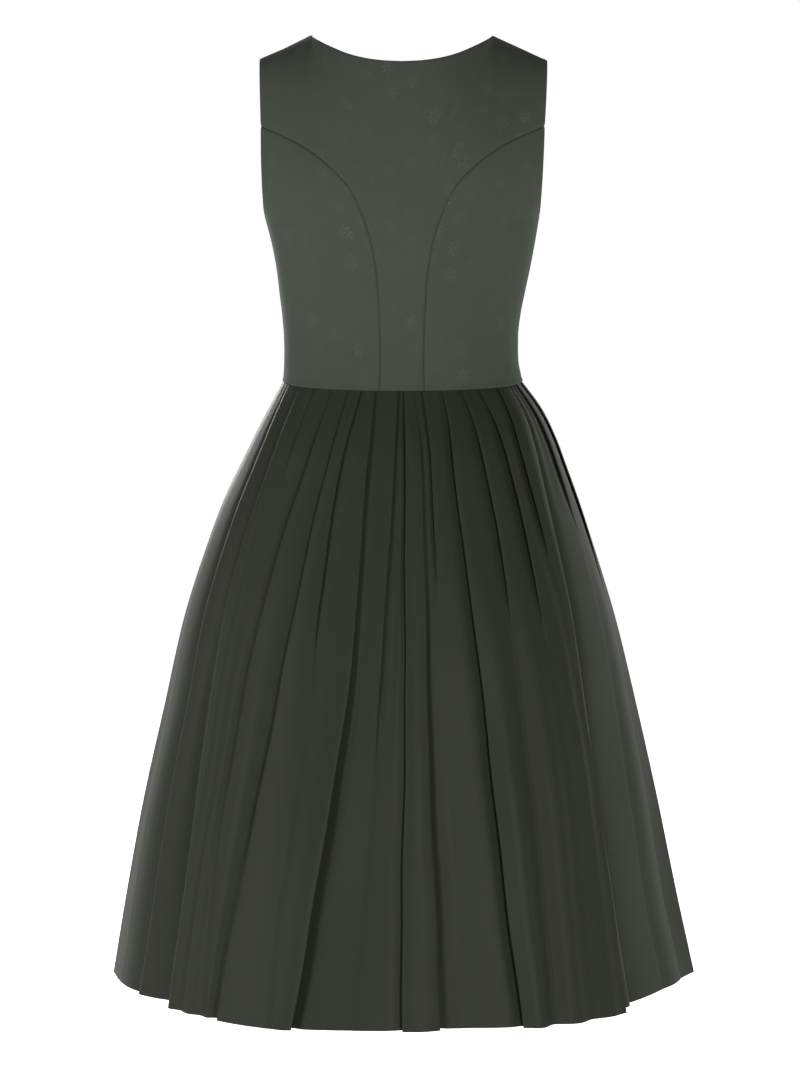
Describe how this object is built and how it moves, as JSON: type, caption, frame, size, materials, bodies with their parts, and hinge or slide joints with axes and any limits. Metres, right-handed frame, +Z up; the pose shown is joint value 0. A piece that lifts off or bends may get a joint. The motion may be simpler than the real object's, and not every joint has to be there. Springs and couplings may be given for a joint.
{
  "type": "dirndl",
  "caption": "Sleeveless midi dress on an invisible form: fitted bodice with curved seams, round neckline and a flared skirt pleated into the waist.",
  "frame": {"origin": "between the two shoulders at the height where the garment is held, in the middle of its depth", "axes": "+Z up, +Y towards the centre front, -Y towards the centre back, +X towards the wearer's right side"},
  "size_m": [0.6579, 0.6083, 1.0581],
  "materials": {
    "bodice_cloth": "matt grey-green cloth with a faint tone-on-tone weave",
    "skirt_cloth": "smooth dark green-grey cloth with a soft satin sheen"
  },
  "bodies": {
    "root": {"bodice_centre_back": "bodice_cloth", "bodice_side_back_left": "bodice_cloth", "bodice_side_back_right": "bodice_cloth", "bodice_centre_front_left": "bodice_cloth", "bodice_centre_front_right": "bodice_cloth", "bodice_side_front_left": "bodice_cloth", "bodice_side_front_right": "bodice_cloth", "skirt_back": "skirt_cloth", "skirt_front": "skirt_cloth"}
  },
  "joints": []
}
